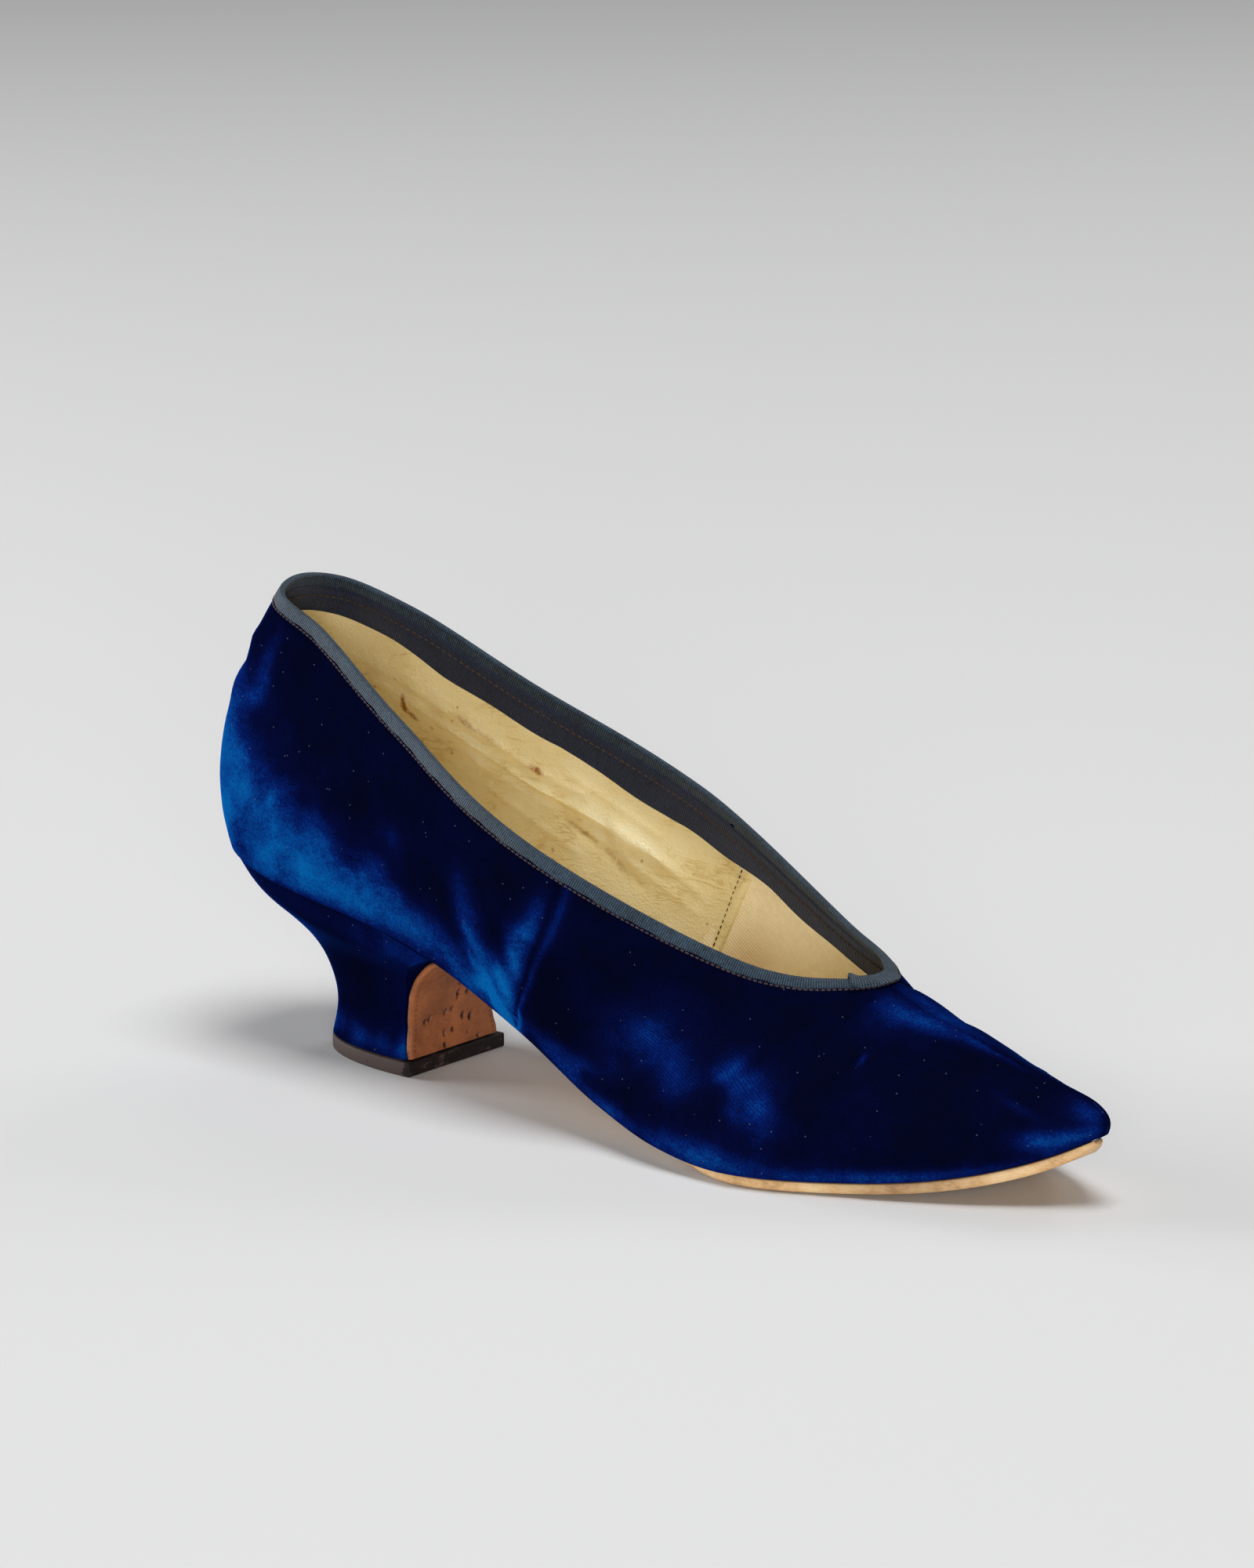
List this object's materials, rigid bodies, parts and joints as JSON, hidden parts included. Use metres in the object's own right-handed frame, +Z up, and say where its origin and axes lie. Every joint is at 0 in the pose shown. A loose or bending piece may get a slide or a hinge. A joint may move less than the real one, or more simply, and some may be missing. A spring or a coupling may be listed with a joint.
{
  "type": "court shoe",
  "caption": "Right-foot velvet court shoe with a pointed toe, low-cut ribbon-bound collar, thin leather sole and a waisted velvet-covered heel.",
  "frame": {"origin": "middle of the bounding box in plan, on the floor plane the heel and forefoot stand on", "axes": "+X from the back of the heel to the toe, +Y to the inner (big toe) side, +Z up"},
  "size_m": [0.2485, 0.0756, 0.1116],
  "materials": {
    "navy_velvet": "silk velvet, dark facing the eye and bright blue where it turns away",
    "slate_ribbon": "ribbed slate blue ribbon, matt",
    "cream_kid": "soft cream kid, lightly polished by wear",
    "tan_sole_leather": "tan sole leather, satin edge",
    "heel_velvet": "silk velvet stretched over a wooden heel",
    "brown_lift_leather": "dark brown leather, scuffed and matt"
  },
  "bodies": {
    "root": {"upper": "navy_velvet", "collar_binding": "slate_ribbon", "insole": "cream_kid", "outsole": "tan_sole_leather", "heel": "heel_velvet", "top_lift": "brown_lift_leather"}
  },
  "joints": []
}
